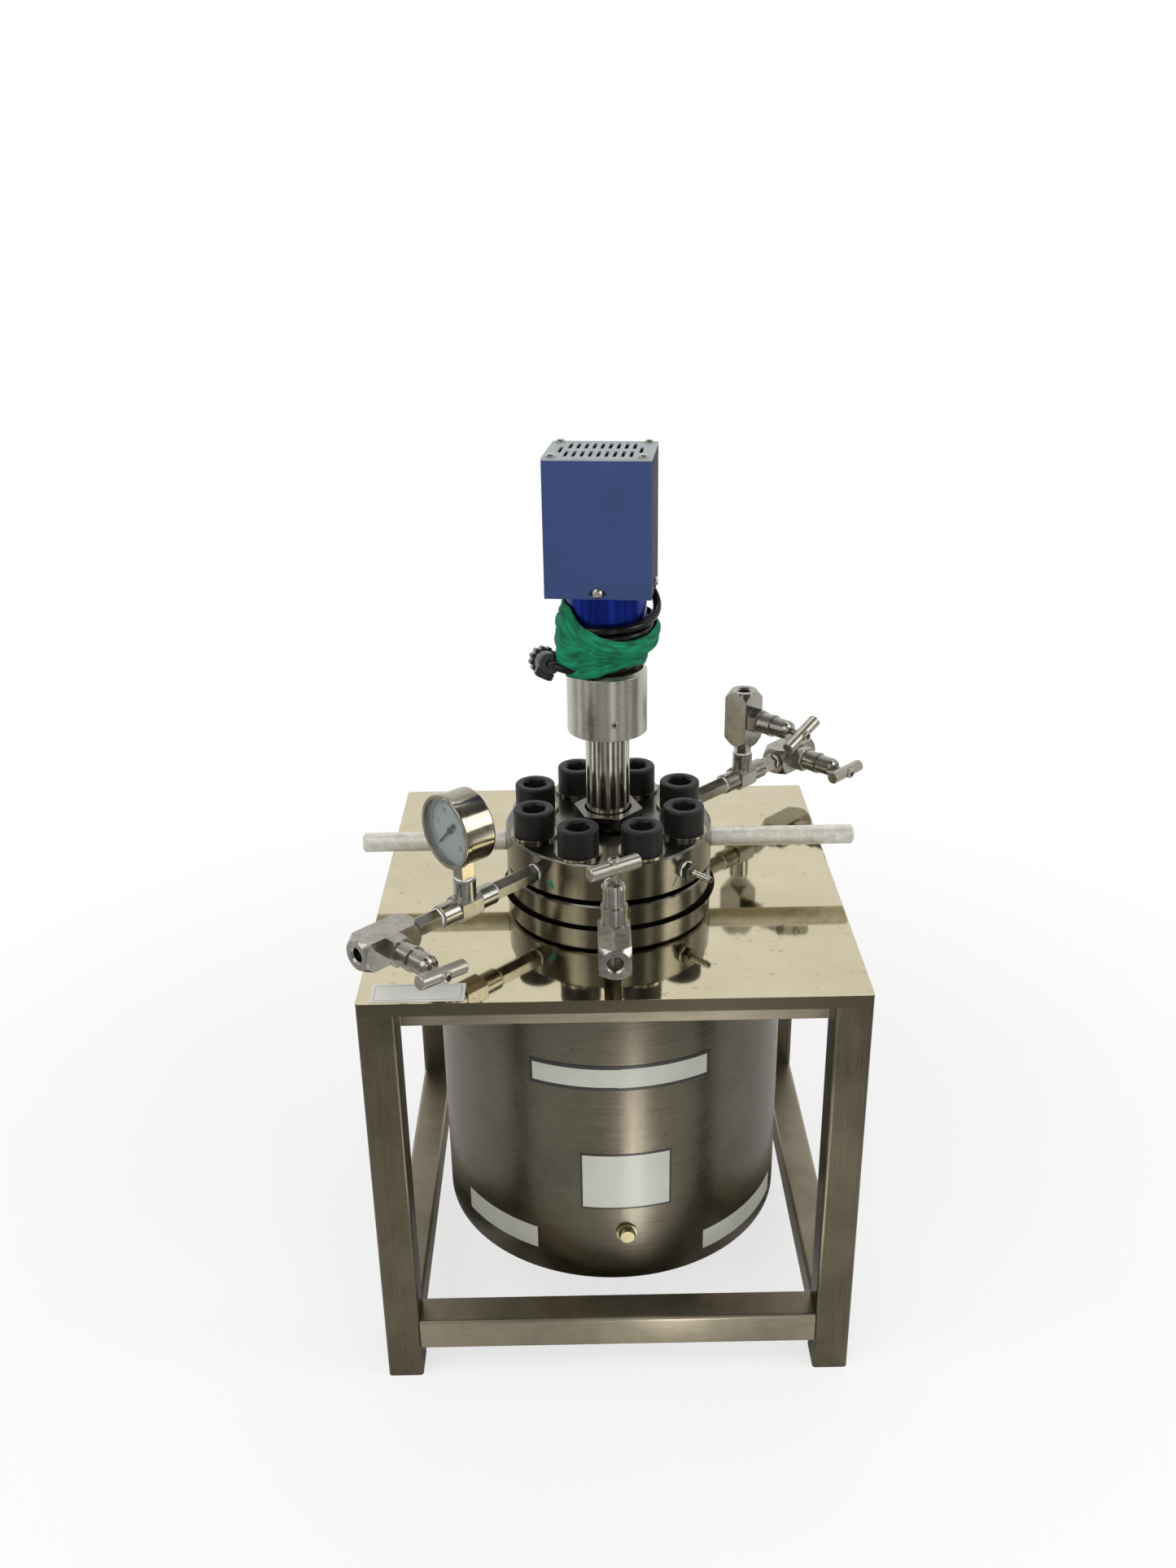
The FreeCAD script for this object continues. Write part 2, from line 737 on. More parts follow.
def vessel():
    top = flange_top
    chamber_low = top - s.chamber_deep
    low = chamber_low - s.vessel_floor
    body = turned("Vessel", [
        (0, low), (s.vessel_radius, low), (s.vessel_radius, flange_under),
        (s.flange_radius, flange_under),
        (s.flange_radius, top), (s.seat_radius, top), (s.seat_radius, top - s.seat_deep),
        (s.chamber_radius, top - s.seat_deep), (s.chamber_radius, chamber_low), (0, chamber_low)])
    soften(body, "Chamfer", "VesselRim", ring_at(s.flange_radius, top), s.rim_chamfer)
    soften(body, "Fillet", "VesselRoot", ring_at(s.chamber_radius, chamber_low), s.vessel_floor / 3)
    angle = math.pi / 8
    tapped = s.bolt_radius + s.thread_play
    spot = (s.bolt_circle * math.cos(angle), s.bolt_circle * math.sin(angle))
    hole = pocket(body, "VesselTapping", lambda k: circle(k, spot[0], spot[1], tapped),
                  s.flange_thick, top)
    around(body, [hole], "VesselTappings", s.bolt_count)
    node("vessel_body", body)

    gasket_low = top - s.seat_deep
    gasket_top = gasket_low + s.gasket_thick
    gasket_outer = s.seat_radius - s.seat_play
    node("vessel_gasket", turned("Gasket", [
        (s.gasket_inner, gasket_low), (gasket_outer, gasket_low),
        (gasket_outer, gasket_top), (s.gasket_inner, gasket_top)]))

    boss = s.seat_radius - s.seat_play
    nut_hole = s.nut_thread + s.thread_play
    blank = turned("LidBlank", [
        (s.horn_passage, gasket_top), (boss, gasket_top), (boss, lid_under), (s.lid_radius, lid_under),
        (s.lid_radius, lid_top), (nut_hole, lid_top), (nut_hole, collar_under),
        (s.horn_passage, collar_under)])
    for height in (lid_under, lid_top):
        soften(blank, "Chamfer", f"LidRim{int(number_of(height))}", ring_at(s.lid_radius, height),
               s.rim_chamfer)
    free = s.bolt_radius + s.bolt_play
    hole = pocket(blank, "LidBoltHole", lambda k: circle(k, spot[0], spot[1], free), s.lid_thick,
                  lid_top)
    around(blank, [hole], "LidBoltHoles", s.bolt_count)
    drills = []
    for azimuth in PORTS:
        way = heading(azimuth)
        turn = facing(way)
        rim = along((0, 0, port_height), way, s.lid_radius)
        tapping = s.pipe_radius + s.pipe_play
        start = along(rim, way, -s.pipe_hole_deep)
        drills.append(cylinder(f"PortTap{azimuth}", tapping, s.pipe_hole_deep + 1, start, turn))
        inner = along((0, 0, port_height), way, s.port_down)
        drills.append(cylinder(f"PortDrill{azimuth}", s.port_drill, s.lid_radius - s.port_down - 1,
                               inner, turn))
        foot = (inner[0], inner[1], gasket_top - 1)
        drills.append(cylinder(f"PortDown{azimuth}", s.port_drill, port_height - gasket_top + 1, foot))
    for azimuth in (0, 180):
        way = heading(azimuth)
        start = along((0, 0, port_height), way, s.lid_radius - s.handle_grip - 1)
        stud_hole = s.handle_stud + s.thread_play
        drills.append(cylinder(f"HandleTap{azimuth}", stud_hole, s.handle_grip + 2, start, facing(way)))
    node("vessel_lid", cut("Lid", blank, *drills))
    bolts(spot, angle)
    for name, azimuth in (("right", 0), ("left", 180)):
        lifting_handle(name, azimuth)


def bolts(spot, angle):
    """Socket head screws, offset half a pitch so that the ports come between them."""
    under = lid_top + s.washer_thick
    shank_low = -s.bolt_long
    head = turned("ScrewBlank", [
        (0, shank_low), (s.bolt_radius - s.rim_chamfer, shank_low),
        (s.bolt_radius, shank_low + s.rim_chamfer),
        (s.bolt_radius, 0), (s.head_radius, 0), (s.head_radius, s.head_tall), (0, s.head_tall)])
    soften(head, "Fillet", "ScrewCrown", ring_at(s.head_radius, s.head_tall), s.head_round)
    key = hexagon("ScrewKey", s.socket_flats, s.socket_deep, (0, 0, s.head_tall - s.socket_deep))
    mouth = cone("ScrewMouth", s.socket_flats / 2, s.socket_flats / 2 + 2, 2, (0, 0, s.head_tall - 2))
    screw = cut("SocketScrew", head, key, mouth)
    ring = turned("WasherRing", [(s.bolt_radius + s.bolt_play, 0), (s.washer_radius, 0),
                                 (s.washer_radius, s.washer_thick),
                                 (s.bolt_radius + s.bolt_play, s.washer_thick)])
    screw_spots = []
    washer_spots = []
    count = int(s.bolt_count.number)
    for number in range(count):
        turn = angle + 2 * math.pi * number / count
        at = (s.bolt_circle * math.cos(turn), s.bolt_circle * math.sin(turn))
        key_turn = FreeCAD.Rotation(UP, 37 * number)
        screw_spots.append(((at[0], at[1], under), key_turn))
        washer_spots.append(((at[0], at[1], lid_top), NO_TURN))
    node("lid_bolts", copies("LidBolts", screw, screw_spots))
    node("bolt_washers", copies("BoltWashers", ring, washer_spots))


def lifting_handle(name, azimuth):
    """A bar screwed into the lid's rim."""
    bar_long = s.handle_reach - s.lid_radius
    body = turned(f"Handle_{name}", [
        (0, -s.handle_grip), (s.handle_stud, -s.handle_grip), (s.handle_stud, 0), (s.handle_radius, 0),
        (s.handle_radius, bar_long), (0, bar_long)])
    soften(body, "Chamfer", f"Handle_{name}_end", ring_at(s.handle_radius, bar_long), s.handle_chamfer)
    way = heading(azimuth)
    place(body, along((0, 0, port_height), way, s.lid_radius), facing(way))
    node(f"lifting_handle_{name}", body)


def horn_column():
    rim_low = coupler_under - s.horn_rim
    flare = s.horn_radius + s.horn_flare + 0.5
    tip_top = s.horn_tip + s.tip_long
    stud_top = coupler_under + s.stud_long
    horn = turned("Horn", [
        (0, s.horn_tip), (s.tip_radius, s.horn_tip), (s.tip_radius, tip_top),
        (s.shank_radius, tip_top + s.shank_taper), (s.shank_radius, collar_under),
        (s.horn_collar_radius, collar_under), (s.horn_collar_radius, collar_top),
        (s.horn_radius, collar_top),
        (s.horn_radius, rim_low), (flare, rim_low), (flare, coupler_under),
        (s.stud_radius, coupler_under),
        (s.stud_radius, stud_top), (0, stud_top)])
    soften(horn, "Fillet", "HornFlare", ring_at(s.horn_radius, rim_low), s.horn_flare)
    node("horn", horn)

    nut_turn = FreeCAD.Rotation(UP, -12)
    nut_low = lid_top + s.nut_rise
    hexes = hexagon("NutHex", s.nut_flats, s.nut_tall, (0, 0, nut_low), nut_turn)
    wide = s.nut_flats * 0.5774 + s.nut_tall
    bevel = cone("NutBevel", wide, s.nut_flats * 0.56, s.nut_tall, (0, 0, nut_low))
    thread = cylinder("NutThread", s.nut_thread, nut_low - collar_top, (0, 0, collar_top))
    bore = cylinder("NutBore", s.nut_bore, nut_low - collar_top + s.nut_tall, (0, 0, collar_top))
    node("horn_nut", cut("HornNut", fuse("NutBody", common("NutHead", hexes, bevel), thread), bore))

    floor = coupler_under + s.coupler_floor
    stud_hole = s.stud_radius + s.thread_play
    sleeve = turned("CouplerSleeve", [
        (stud_hole, coupler_under), (s.coupler_radius, coupler_under), (s.coupler_radius, coupler_top),
        (s.coupler_bore, coupler_top), (s.coupler_bore, floor), (stud_hole, floor)])
    soften(sleeve, "Chamfer", "CouplerEdge", ring_at(s.coupler_radius, coupler_top), s.coupler_chamfer)
    way = heading(270 + s.grub_turn.number)
    grub_at = along((0, 0, coupler_under + s.grub_height), way, s.coupler_radius - s.grub_deep)
    dimple = cylinder("GrubDimple", s.grub_radius, s.grub_deep + 1, grub_at, facing(way))
    node("coupler", cut("Coupler", sleeve, dimple))

    case_inner = s.case_radius - s.case_wall
    node_low = case_under + s.case_floor
    node_top = node_low + s.node_thick
    hole_top = coupler_under + s.stud_long + 1
    bolt_hole = s.back_bolt + s.thread_play
    bolt_low = node_top - s.back_bolt_in
    node("front_mass", turned("FrontMass", [
        (stud_hole, floor), (s.neck_radius, floor), (s.neck_radius, node_low),
        (case_inner - s.slip_gap, node_low),
        (case_inner - s.slip_gap, node_top), (bolt_hole, node_top), (bolt_hole, bolt_low),
        (0, bolt_low), (0, hole_top), (stud_hole, hole_top)]))
    node("transducer_case", turned("TransducerCase", [
        (s.neck_radius + s.slip_gap, case_under), (s.case_radius, case_under),
        (s.case_radius, case_top),
        (case_inner, case_top), (case_inner, node_low), (s.neck_radius + s.slip_gap, node_low)]))

    disc = turned("CeramicDisc", [(s.disc_bore, 0), (s.disc_radius, 0),
                                  (s.disc_radius, s.disc_thick), (s.disc_bore, s.disc_thick)])
    count = int(s.disc_count.number)
    spots = [((0, 0, node_top + s.disc_thick * number), NO_TURN) for number in range(count)]
    node("piezo_stack", copies("PiezoStack", disc, spots))
    stack_top = node_top + s.disc_thick * s.disc_count
    back_top = stack_top + s.back_tall
    bolt_top = back_top + s.back_bolt_tall
    node("back_mass", turned("BackMass", [
        (0, bolt_low + 1), (s.back_bolt, bolt_low + 1), (s.back_bolt, stack_top),
        (s.back_radius, stack_top),
        (s.back_radius, back_top), (s.back_bolt_head, back_top), (s.back_bolt_head, bolt_top),
        (0, bolt_top)]))


def boxed(at):
    """A point of the vented box's own frame, in the part's frame."""
    turn = math.radians(-s.box_turn.number)
    x = at[0] * math.cos(turn) - at[1] * math.sin(turn) - s.box_left
    y = at[0] * math.sin(turn) + at[1] * math.cos(turn)
    return (x, y, box_under + at[2])


def box_turned():
    return FreeCAD.Rotation(UP, -s.box_turn.number)


def vented_box():
    """Built in its own frame, standing on the box's lower edge, then turned and set over the case."""
    turn = box_turned()
    cover_tall = s.box_tall - s.lid_sheet
    walls = padded("BoxWalls", rectangle(s.box_width, s.box_depth), cover_tall)
    soften(walls, "Fillet", "BoxWallCorners", upright, s.box_corner)
    inside = rectangle(s.box_width - 2 * s.box_sheet, s.box_depth - 2 * s.box_sheet)
    pocket(walls, "BoxWallsInside", lambda k: outline(k, inside), cover_tall, cover_tall)
    screw_height = s.base_lift + s.base_thick / 2
    ways = [heading(azimuth) for azimuth in (0, 90, 180, 270)]
    reaches = (s.box_width / 2, s.box_depth / 2, s.box_width / 2, s.box_depth / 2)
    cuts = []
    for way, reach in zip(ways, reaches):
        start = along((0, 0, screw_height), way, reach - 2 * s.box_sheet)
        half = s.screw_slot / 2 - s.screw_shank
        side = (-way.y, way.x, 0)
        for end in (-1, 1):
            at = along(start, side, end * half)
            name = f"BoxSlot{len(cuts)}"
            cuts.append(cylinder(name, s.screw_shank + s.slip_gap, 3 * s.box_sheet, at, facing(way)))
    slots = []
    for first, second in zip(cuts[::2], cuts[1::2]):
        hull = doc.addObject("Part::Feature", first.Name + "_slot")
        slots.append(slot_between(hull, first, second))
    cover = cut("BoxSides", walls, *slots)
    node("housing_sides", place(cover, boxed((0, 0, 0)), turn))

    lid = padded("BoxLid", rectangle(s.box_width, s.box_depth), s.lid_sheet, cover_tall)
    soften(lid, "Fillet", "BoxLidCorners", upright, s.box_corner)
    rows = []
    first = -s.vent_pitch * (s.vent_count - 1) / 2
    for y in (-s.vent_row, s.vent_row):
        rows += [(first + s.vent_pitch * n, y) for n in range(int(s.vent_count.number))]
    rows += [(-s.vent_end, 0), (s.vent_end, 0)]

    def draw(sketch):
        for x, y in rows:
            outline(sketch, [(x + a, y + b) for a, b in rectangle(s.vent_wide, s.vent_long)])
    pocket(lid, "BoxVents", draw, 2 * s.lid_sheet, cover_tall + s.lid_sheet)
    post_x = s.box_width / 2 - s.post_in
    post_y = s.box_depth / 2 - s.post_in
    corners = [(x, y) for x in (-post_x, post_x) for y in (-post_y, post_y)]

    def draw_holes(sketch):
        for x, y in corners:
            circle(sketch, x, y, s.screw_shank + s.slip_gap)
    pocket(lid, "BoxLidHoles", draw_holes, 2 * s.lid_sheet, cover_tall + s.lid_sheet)
    node("housing_top", place(lid, boxed((0, 0, 0)), turn))

    play = 2 * (s.box_sheet + s.slip_gap)
    plate = block("BoxFloor", s.box_width - play, s.box_depth - play, s.base_thick, (0, 0, s.base_lift))
    back_turn = math.radians(s.box_turn.number)
    case_at = (s.box_left * math.cos(back_turn), s.box_left * math.sin(back_turn), s.base_lift - 1)
    case_hole = cylinder("BoxFloorHole", s.case_radius + s.slip_gap, s.base_thick + 2, case_at)
    posts = [cylinder(f"BoxPost{n}", s.post_radius, cover_tall - s.base_lift, (x, y, s.base_lift))
             for n, (x, y) in enumerate(corners)]
    taps = [cylinder(f"BoxPostTap{n}", s.screw_shank + s.thread_play, s.screw_long + 2,
                     (x, y, cover_tall - s.screw_long - 2)) for n, (x, y) in enumerate(corners)]
    spots = [((x, y, cover_tall + s.lid_sheet), UP) for x, y in corners]
    for number, (way, reach) in enumerate(zip(ways, reaches)):
        face = along((0, 0, screw_height), way, reach)
        spots.append((face, way))
        start = along(face, way, -s.screw_long - 2)
        taps.append(cylinder(f"BoxFloorTap{number}", s.screw_shank + s.thread_play,
                             s.screw_long + 3, start, facing(way)))
    start_x, start_y = grommet_spot()
    taps.append(cylinder("BoxGrommetHole", s.grommet_radius + s.slip_gap, s.base_thick + 2,
                         (start_x, start_y, s.base_lift - 1)))
    chassis = cut("BoxChassis", fuse("BoxFrame", plate, *posts), case_hole, *taps)
    node("housing_base", place(chassis, boxed((0, 0, 0)), turn))

    screw = turned("PanScrew", [
        (0, -s.screw_long), (s.screw_shank, -s.screw_long), (s.screw_shank, 0), (s.screw_radius, 0),
        (s.screw_radius, s.screw_head * 0.45), (s.screw_radius * 0.62, s.screw_head),
        (0, s.screw_head)])
    placed = [(boxed(at), turn.multiply(facing(way))) for at, way in spots]
    node("housing_screws", copies("BoxScrews", screw, placed))


def slot_between(hull, first, second):
    """A straight slot from one round hole to the other."""
    doc.recompute()
    middle = (first.Placement.Base + second.Placement.Base) / 2
    across = second.Placement.Base - first.Placement.Base
    wide = 2 * first.Radius.Value
    bar = Part.makeBox(wide, across.Length, first.Height.Value,
                       FreeCAD.Vector(-wide / 2, -across.Length / 2, 0))
    bar.Placement = FreeCAD.Placement(middle, facing(first.Placement.Rotation.multVec(UP), UP))
    hull.Shape = bar.fuse([first.Shape, second.Shape]).removeSplitter()
    return hull


def grommet_spot():
    """Where the cable leaves the box's floor, in the box's frame: by its wall, clear of the case."""
    x = s.box_width / 2 - s.box_sheet - s.grommet_rim - s.slip_gap
    turn = math.radians(s.box_turn.number)
    across = x - s.box_left * math.cos(turn)
    reach = s.case_radius + s.grommet_rim + s.grommet_clear
    return (x, s.box_left * math.sin(turn) + root(reach * reach - across * across))


def route_tube(name, points, radius, starts=None):
    """A cable's tube: straight runs joined by arcs as large as the runs allow."""
    vectors = [FreeCAD.Vector(*p) for p in points]
    edges = []
    here = vectors[0]
    tightest = 1e9
    for before, corner, after in zip(vectors, vectors[1:], vectors[2:]):
        way_in = (corner - before).normalize()
        way_out = (after - corner).normalize()
        half_turn = way_in.getAngle(way_out) / 2
        room = 0.45 * min((corner - before).Length, (after - corner).Length)
        bend = room / math.tan(half_turn)
        tightest = min(tightest, bend)
        start = corner - way_in * room
        end = corner + way_out * room
        inward = (way_out - way_in).normalize()
        bulge = corner + inward * (bend / math.cos(half_turn) - bend)
        edges.append(Part.LineSegment(here, start).toShape())
        edges.append(Part.Arc(start, bulge, end).toShape())
        here = end
    edges.append(Part.LineSegment(here, vectors[-1]).toShape())
    path = Part.Wire(edges)
    section = Part.Wire([Part.Circle(vectors[0], vectors[1] - vectors[0], radius).toShape()])
    tube = path.makePipeShell([section], True, True)
    expected = math.pi * radius ** 2 * path.Length
    print(f"{name}: length {path.Length:.1f} mm, tightest bend {tightest:.1f} mm, "
          f"volume {tube.Volume / expected:.4f} of its section times its length")
    piece = doc.addObject("Part::Feature", name)
    piece.Shape = tube
    return piece


# The cable's route where it isn't wound: from the box down to the winding, and from the winding's
# lower end to the plug.
LEAD_TURNS = ((20.0, 0.0), (12.0, 7.5), (3.5, 14.0), (-6.0, 19.0))
TAIL_POINTS = ((-5.0, -27.5, 5.5), (-21.0, -34.5, 7.0), (-35.5, -38.0, 10.0), (-45.8, -28.5, 10.8),
               (-47.2, -15.5, 6.8))


def cable():
    coil_inner = s.case_radius + s.coil_gap
    coil_outer = coil_inner + 2 * s.cable_radius + 0.1
    neck_inner = s.neck_radius + s.coil_gap
    neck_outer = neck_inner + s.neck_coil_wide
    low = coupler_top + s.coil_gap
    step = case_under - s.coil_gap
    high = case_under + s.coil_tall
    coil = node("cable_coil", turned("CableCoil", [
        (neck_inner, low), (neck_outer, low), (neck_outer, step - 6), (coil_outer, step + 2),
        (coil_outer, high), (coil_inner, high), (coil_inner, step), (neck_inner, step)]))

    start_x, start_y = grommet_spot()
    top = boxed((start_x, start_y, 0))
    rim = turned("CableGrommet", [
        (0, s.base_lift - s.grommet_lip), (s.grommet_rim, s.base_lift - s.grommet_lip),
        (s.grommet_rim, s.base_lift), (s.grommet_radius, s.base_lift),
        (s.grommet_radius, s.base_lift + s.base_thick), (0, s.base_lift + s.base_thick)])
    grommet = node("cable_grommet", place(rim, top))
    grommet_low = number_of(box_under + s.base_lift - s.grommet_lip)
    drop = grommet_low - number_of(high)
    circle_radius = number_of(coil_inner + s.cable_radius)
    first_turn = math.degrees(math.atan2(number_of(top[1]), number_of(top[0])))
    start_radius = math.hypot(number_of(top[0]), number_of(top[1]))
    points = []
    for turn, fall in LEAD_TURNS:
        share = fall / LEAD_TURNS[-1][1]
        angle = math.radians(first_turn + turn - LEAD_TURNS[0][0])
        out = start_radius + (circle_radius - start_radius) * share
        points.append((out * math.cos(angle), out * math.sin(angle), grommet_low - drop * share))
    lead = route_tube("CableLeadWhole", points, s.cable_radius.number)
    clear = cylinder("CableLeadClear", coil_outer + 1, high - step + s.lead_gap, (0, 0, step))
    node("cable_lead", cut("CableLead", lead, clear, grommet))

    base = number_of(low)
    tail_points = [(x, y, base + z) for x, y, z in TAIL_POINTS]
    tail = route_tube("CableTailWhole", tail_points, s.cable_radius.number)
    node("cable_tail", cut("CableTail", tail, coil))
    plug(tail_points[-1],
         (FreeCAD.Vector(*tail_points[-1]) - FreeCAD.Vector(*tail_points[-2])).normalize())

    strap_inner = coil_outer + s.coil_gap
    strap_low = low + s.strap_low
    strap_high = strap_low + s.strap_tall
    node("cable_strap", turned("CableStrap", [
        (strap_inner, strap_low), (strap_inner + s.strap_thick, strap_low),
        (strap_inner + s.strap_thick, strap_high), (strap_inner, strap_high)]))


def plug(rear, way):
    """A round connector with a clamp saddle at its cable end."""
    ring_low = s.plug_long - 2 * s.plug_ring
    shell = turned("PlugShell", [
        (0, 0), (s.plug_radius * 0.8, 0), (s.plug_radius * 0.8, s.plug_ring),
        (s.plug_radius - 1, s.plug_ring),
        (s.plug_radius - 1, ring_low), (s.plug_radius, ring_low), (s.plug_radius, s.plug_long),
        (s.plug_radius - 2, s.plug_long), (s.plug_radius - 2, s.plug_long - 6), (0, s.plug_long - 6)])
    reach = s.plug_radius * 0.8 + s.saddle_tall / 2
    saddle = block("PlugSaddle", s.saddle_tall, s.saddle_wide, s.plug_ring - 1,
                   (reach - s.saddle_tall / 4, 0, 0.5))
    whole = fuse("CablePlug", shell, saddle)
    down_left = FreeCAD.Vector(-0.45, -0.14, -0.88)
    node("cable_plug", place(whole, rear, facing(way, down_left)))


def nipple(name, start, way, long):
    """A hexagon nipple: its hexagon stops short of both ports, where tape shows."""
    turn = facing(way, UP if abs(way.z) < 0.5 else heading(LEFT_PORT))
    hexes = hexagon(name + "_hex", s.nipple_flats, long - 2 * s.tape_gap,
                    along(start, way, s.tape_gap), turn)
    thread_start = along(start, way, -s.pipe_grip)
    thread = cylinder(name + "_thread", s.pipe_radius, long + 2 * s.pipe_grip, thread_start, turn)
    bore = cylinder(name + "_bore", s.port_drill, long + 2 * s.pipe_grip, thread_start, turn)
    return cut(name, fuse(name + "_body", hexes, thread), bore)


def tee(name, at, run, branch):
    """A forged tee with three round arms on a bevelled core, tapped at each end."""
    turn = facing(run, branch)
    arm = turned(name + "_run", [
        (0, -s.tee_half), (s.tee_arm, -s.tee_half), (s.tee_arm, s.tee_half), (0, s.tee_half)])
    for end in (-s.tee_half, s.tee_half):
        soften(arm, "Chamfer", f"{name}_lip{int(number_of(end))}", ring_at(s.tee_arm, end), 0.6)
    up = cylinder(name + "_up", s.tee_arm, s.tee_up, (0, 0, 0),
                  FreeCAD.Rotation(FreeCAD.Vector(0, 1, 0), 90))
    core = padded(name + "_core", rectangle(s.tee_core, s.tee_core), s.tee_core * 1.1,
                  -s.tee_core * 0.55)
    soften(core, "Chamfer", name + "_bevels", upright, s.tee_core * 0.2)
    tap = s.pipe_radius + s.pipe_play
    ends = [cylinder(name + "_tap_low", tap, s.pipe_hole_deep, (0, 0, -s.tee_half)),
            cylinder(name + "_tap_high", tap, s.pipe_hole_deep, (0, 0, s.tee_half - s.pipe_hole_deep)),
            cylinder(name + "_tap_up", tap, s.pipe_hole_deep, (s.tee_up - s.pipe_hole_deep, 0, 0),
                     FreeCAD.Rotation(FreeCAD.Vector(0, 1, 0), 90)),
            cylinder(name + "_through", s.tee_bore, 2 * s.tee_half, (0, 0, -s.tee_half)),
            cylinder(name + "_rise", s.tee_bore, s.tee_up, (0, 0, 0),
                     FreeCAD.Rotation(FreeCAD.Vector(0, 1, 0), 90))]
    return place(cut(name, fuse(name + "_body", arm, up, core), *ends), at, turn)


def valve(name, middle, run, bonnet, bar_way):
    """A needle valve: a bar stock body on the line, with its bonnet at right angles to it."""
    half = s.bar_long / 2
    round_blank = turned(f"Blank_{name}", [
        (0, -half), (s.bar_face, -half), (s.bar_side * 0.708, -half + s.bar_bevel),
        (s.bar_side * 0.708, half - s.bar_bevel), (s.bar_face, half), (0, half)])
    bar = block(f"Bar_{name}", s.bar_side, s.bar_side, s.bar_long, (0, 0, -half))
    outward = FreeCAD.Rotation(FreeCAD.Vector(0, 1, 0), 90)
    tap = s.pipe_radius + s.pipe_play
    deep = s.pipe_hole_deep
    side = s.bar_side / 2
    chamber_low = -s.seat_offset
    tools = [
        cylinder(f"TapIn_{name}", tap, deep, (0, 0, -half)),
        cylinder(f"TapOut_{name}", tap, deep, (0, 0, half - deep)),
        cone(f"MouthOut_{name}", tap, s.port_mouth, s.port_mouth - tap,
             (0, 0, half - s.port_mouth + tap)),
        cylinder(f"WayIn_{name}", s.seat_hole, half - deep + 1, (-s.seat_offset, 0, -half + deep - 1)),
        cylinder(f"WayOut_{name}", s.seat_hole, half - deep + 1, (s.needle_tip, 0, 0)),
        cylinder(f"Seat_{name}", s.seat_hole, s.seat_offset + 1, (chamber_low, 0, 0), outward),
        cylinder(f"Chamber_{name}", s.spindle_radius, side, (0, 0, 0), outward),
        cylinder(f"BonnetTap_{name}", s.bonnet_thread + s.thread_play, s.bonnet_grip + 1,
                 (side - s.bonnet_grip, 0, 0), outward)]
    whole = cut(f"Body_{name}", common(f"BarStock_{name}", bar, round_blank), *tools)
    node(f"valve_body_{name}", place(whole, middle, facing(run, bonnet)))

    drop = s.needle_radius - s.seat_hole
    tip = s.spindle_play * 2
    thread_low = s.needle_tall
    thread_high = thread_low + s.spindle_tall
    pin_top = s.grip_rise - s.grip_radius + s.pin_in
    spindle = turned(f"Spindle_{name}", [
        (0, tip - s.needle_tip), (s.seat_hole - s.needle_tip * 0.6, tip - s.needle_tip),
        (s.seat_hole, tip),
        (s.needle_radius, tip + drop / 0.6), (s.needle_radius, thread_low),
        (s.spindle_radius, thread_low),
        (s.spindle_radius, thread_high), (s.pin_radius, thread_high), (s.pin_radius, pin_top),
        (0, pin_top)])
    turn = facing(bonnet, run)
    node(f"valve_stem_{name}", place(spindle, middle, turn))
    rest = math.atan2(turn.multVec(FreeCAD.Vector(0, 1, 0)) * bar_way,
                      turn.multVec(FreeCAD.Vector(1, 0, 0)) * bar_way)
    at_rest = turn.multiply(FreeCAD.Rotation(UP, math.degrees(rest)))
    node(f"valve_handle_{name}", place(grip(name), middle, at_rest))
    return middle, turn


def bonnet_piece():
    """The bonnet of every valve, along its own Z from the valve's middle."""
    side = s.bar_side / 2
    hex_top = side + s.bonnet_hex
    barrel_top = hex_top + s.bonnet_barrel
    neck_top = barrel_top + s.bonnet_neck_tall
    bore = s.spindle_radius + s.spindle_play
    band = s.bonnet_round + s.bonnet_band_out
    barrel = turned("BonnetTurned", [
        (bore, side - s.bonnet_grip), (s.bonnet_thread, side - s.bonnet_grip), (s.bonnet_thread, side),
        (s.bonnet_round, side), (s.bonnet_round, barrel_top - s.bonnet_band),
        (band, barrel_top - s.bonnet_band),
        (band, barrel_top), (s.bonnet_neck, barrel_top), (s.bonnet_neck, neck_top), (bore, neck_top)])
    hexes = hexagon("BonnetHex", s.bonnet_flats, s.bonnet_hex, (0, 0, side))
    crown = cone("BonnetCrown", s.bonnet_flats * 0.5774 + s.bonnet_hex, s.bonnet_flats * 0.53,
                 s.bonnet_hex, (0, 0, side))
    hole = cylinder("BonnetHexBore", bore, s.bonnet_hex, (0, 0, side))
    return fuse("Bonnet", barrel, cut("BonnetCollar", common("BonnetHexes", hexes, crown), hole))


def gland_piece():
    """The packing nut, which screws over the bonnet's neck and ends in a dome."""
    low = s.bar_side / 2 + s.bonnet_hex + s.bonnet_barrel
    top = low + s.gland_tall
    hole = s.pin_radius + s.spindle_play
    over = s.bonnet_neck + s.thread_play
    return turned("GlandNut", [
        (over, low), (s.gland_radius, low), (s.gland_radius, top),
        (s.gland_radius * 0.88, top + s.gland_dome * 0.6),
        (s.gland_top, top + s.gland_dome), (hole, top + s.gland_dome), (hole, low + s.gland_deep),
        (over, low + s.gland_deep)])


